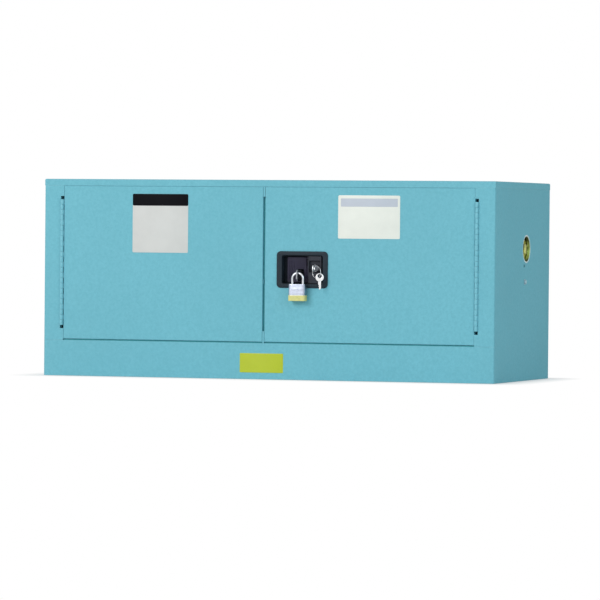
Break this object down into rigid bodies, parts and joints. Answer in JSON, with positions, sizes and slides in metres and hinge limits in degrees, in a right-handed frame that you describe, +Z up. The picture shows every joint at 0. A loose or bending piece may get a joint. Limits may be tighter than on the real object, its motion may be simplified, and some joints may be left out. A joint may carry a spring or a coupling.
{
  "type": "corrosive_storage_cabinet",
  "caption": "Low double-wall steel safety cabinet for corrosive chemicals, with two hinged doors, a paddle latch, a key lock and a padlock",
  "frame": {"origin": "middle of the flat base, on the surface that the cabinet stands on", "axes": "+Z up, +X to the right seen from the front, the doors face -Y"},
  "size_m": [1.0962, 0.481, 0.4572],
  "materials": {
    "blue_paint": "satin powder coat",
    "zinc_steel": "zinc plated",
    "gauze_steel": "woven wire",
    "plug_brass": "dull",
    "tray_plastic": "moulded",
    "dish_grey": "satin",
    "block_grey": "satin",
    "paddle_black": "satin",
    "staple_steel": "zinc plated",
    "lock_chrome": "polished",
    "key_steel": "nickel plated",
    "shackle_chrome": "polished",
    "plate_steel": "zinc plated",
    "yellow_rubber": "matt",
    "cylinder_brass": "dull"
  },
  "bodies": {
    "cabinet": {"outer_top": "blue_paint", "outer_left_side": "blue_paint", "outer_right_side": "blue_paint", "outer_back": "blue_paint", "outer_bottom": "blue_paint", "frame_sill": "blue_paint", "frame_left_stile": "blue_paint", "frame_right_stile": "blue_paint", "header_channel": "blue_paint", "sill_channel": "blue_paint", "liner_top": "blue_paint", "liner_floor": "blue_paint", "liner_back": "blue_paint", "liner_left_side": "blue_paint", "liner_right_side": "blue_paint", "vent_sleeves": "blue_paint", "shelf": "blue_paint", "left_hinge_frame_leaf": "blue_paint", "right_hinge_frame_leaf": "blue_paint", "bolt_keepers": "zinc_steel", "side_screws": "zinc_steel", "shelf_standards": "zinc_steel", "shelf_clips": "zinc_steel", "hinge_pins": "zinc_steel", "vent_arresters": "gauze_steel", "shelf_tray": "tray_plastic", "sump_tray": "tray_plastic"},
    "left_door": {"left_door_skin": "blue_paint", "left_door_inner": "blue_paint", "left_hinge_door_leaf": "blue_paint", "centre_strike": "blue_paint"},
    "right_door": {"right_door_skin": "blue_paint", "right_door_inner": "blue_paint", "right_hinge_door_leaf": "blue_paint", "cam_pivot": "zinc_steel", "rod_guides": "zinc_steel", "handle_dish": "dish_grey", "paddle_pin": "zinc_steel", "paddle_spring": "zinc_steel", "padlock_staple": "staple_steel", "lock_housing": "block_grey", "lock_barrel": "lock_chrome"},
    "paddle": {"paddle": "paddle_black"},
    "latch_cam": {"latch_cam": "zinc_steel"},
    "top_rod": {"top_rod": "zinc_steel"},
    "bottom_rod": {"bottom_rod": "zinc_steel"},
    "centre_bolt": {"centre_bolt": "zinc_steel"},
    "lock_plug": {"lock_plug": "lock_chrome", "lock_tailpiece": "zinc_steel", "lock_key": "key_steel"},
    "key_ring": {"key_ring": "key_steel"},
    "spare_key": {"spare_key": "key_steel"},
    "padlock_shackle": {"padlock_shackle": "shackle_chrome"},
    "padlock_body": {"padlock_plates": "plate_steel", "padlock_bumper": "yellow_rubber", "padlock_cylinder": "cylinder_brass"},
    "right_vent_cap": {"right_vent_cap": "plug_brass"},
    "left_vent_cap": {"left_vent_cap": "plug_brass"}
  },
  "joints": [
    {"name": "left_door_hinge", "type": "hinge", "parent": "cabinet", "child": "left_door", "pos_m": [-0.5028, -0.2296, 0.2644], "axis": [0, 0, -1], "range_deg": [0, 170]},
    {"name": "right_door_hinge", "type": "hinge", "parent": "cabinet", "child": "right_door", "pos_m": [0.5028, -0.2296, 0.2644], "axis": [0, 0, 1], "range_deg": [0, 170]},
    {"name": "paddle_hinge", "type": "hinge", "parent": "right_door", "child": "paddle", "pos_m": [0.0965, -0.2146, 0.2525], "axis": [0, 0, 1], "range_deg": [0, 25], "stiffness_Nm_per_rad": 0.4, "springref_deg": -17.19},
    {"name": "cam_turn", "type": "hinge", "parent": "right_door", "child": "latch_cam", "pos_m": [0.088, -0.2046, 0.2394], "axis": [0, -1, 0], "range_deg": [0, 45.2]},
    {"name": "top_rod_slide", "type": "slide", "parent": "right_door", "child": "top_rod", "axis": [0, 0, -1], "range_m": [0, 0.0123]},
    {"name": "bottom_rod_slide", "type": "slide", "parent": "right_door", "child": "bottom_rod", "axis": [0, 0, 1], "range_m": [0, 0.0123]},
    {"name": "centre_bolt_slide", "type": "slide", "parent": "right_door", "child": "centre_bolt", "axis": [1, 0, 0], "range_m": [0, 0.0123]},
    {"name": "lock_turn", "type": "hinge", "parent": "right_door", "child": "lock_plug", "pos_m": [0.1185, -0.2126, 0.256], "axis": [0, -1, 0], "range_deg": [0, 90]},
    {"name": "key_ring_swing", "type": "hinge", "parent": "right_door", "child": "key_ring", "pos_m": [0.1185, -0.2391, 0.256], "axis": [1, 0, 0], "range_deg": [-15, 15]},
    {"name": "spare_key_swing", "type": "hinge", "parent": "key_ring", "child": "spare_key", "pos_m": [0.13602, -0.24842, 0.23859], "axis": [0.342, -0.9397, 0], "range_deg": [-25, 25]},
    {"name": "padlock_swing", "type": "hinge", "parent": "right_door", "child": "padlock_shackle", "pos_m": [0.081, -0.2416, 0.2445], "axis": [-1, 0, 0], "range_deg": [0, 80]},
    {"name": "padlock_open", "type": "slide", "parent": "padlock_shackle", "child": "padlock_body", "axis": [0, 0, -1], "range_m": [0, 0.012]},
    {"name": "right_vent_cap_turn", "type": "hinge", "parent": "cabinet", "child": "right_vent_cap", "pos_m": [0.535, 0.031, 0.304], "axis": [1, 0, 0], "range_deg": [0, 720]},
    {"name": "left_vent_cap_turn", "type": "hinge", "parent": "cabinet", "child": "left_vent_cap", "pos_m": [-0.535, 0.031, 0.153], "axis": [-1, 0, 0], "range_deg": [0, 720]}
  ],
  "couplings": [
    {"joint": "cam_turn", "follows": "paddle_hinge", "ratio": 1.8},
    {"joint": "top_rod_slide", "follows": "paddle_hinge", "m_per_rad": 0.028065},
    {"joint": "bottom_rod_slide", "follows": "paddle_hinge", "m_per_rad": 0.028065},
    {"joint": "centre_bolt_slide", "follows": "paddle_hinge", "m_per_rad": 0.028065}
  ]
}
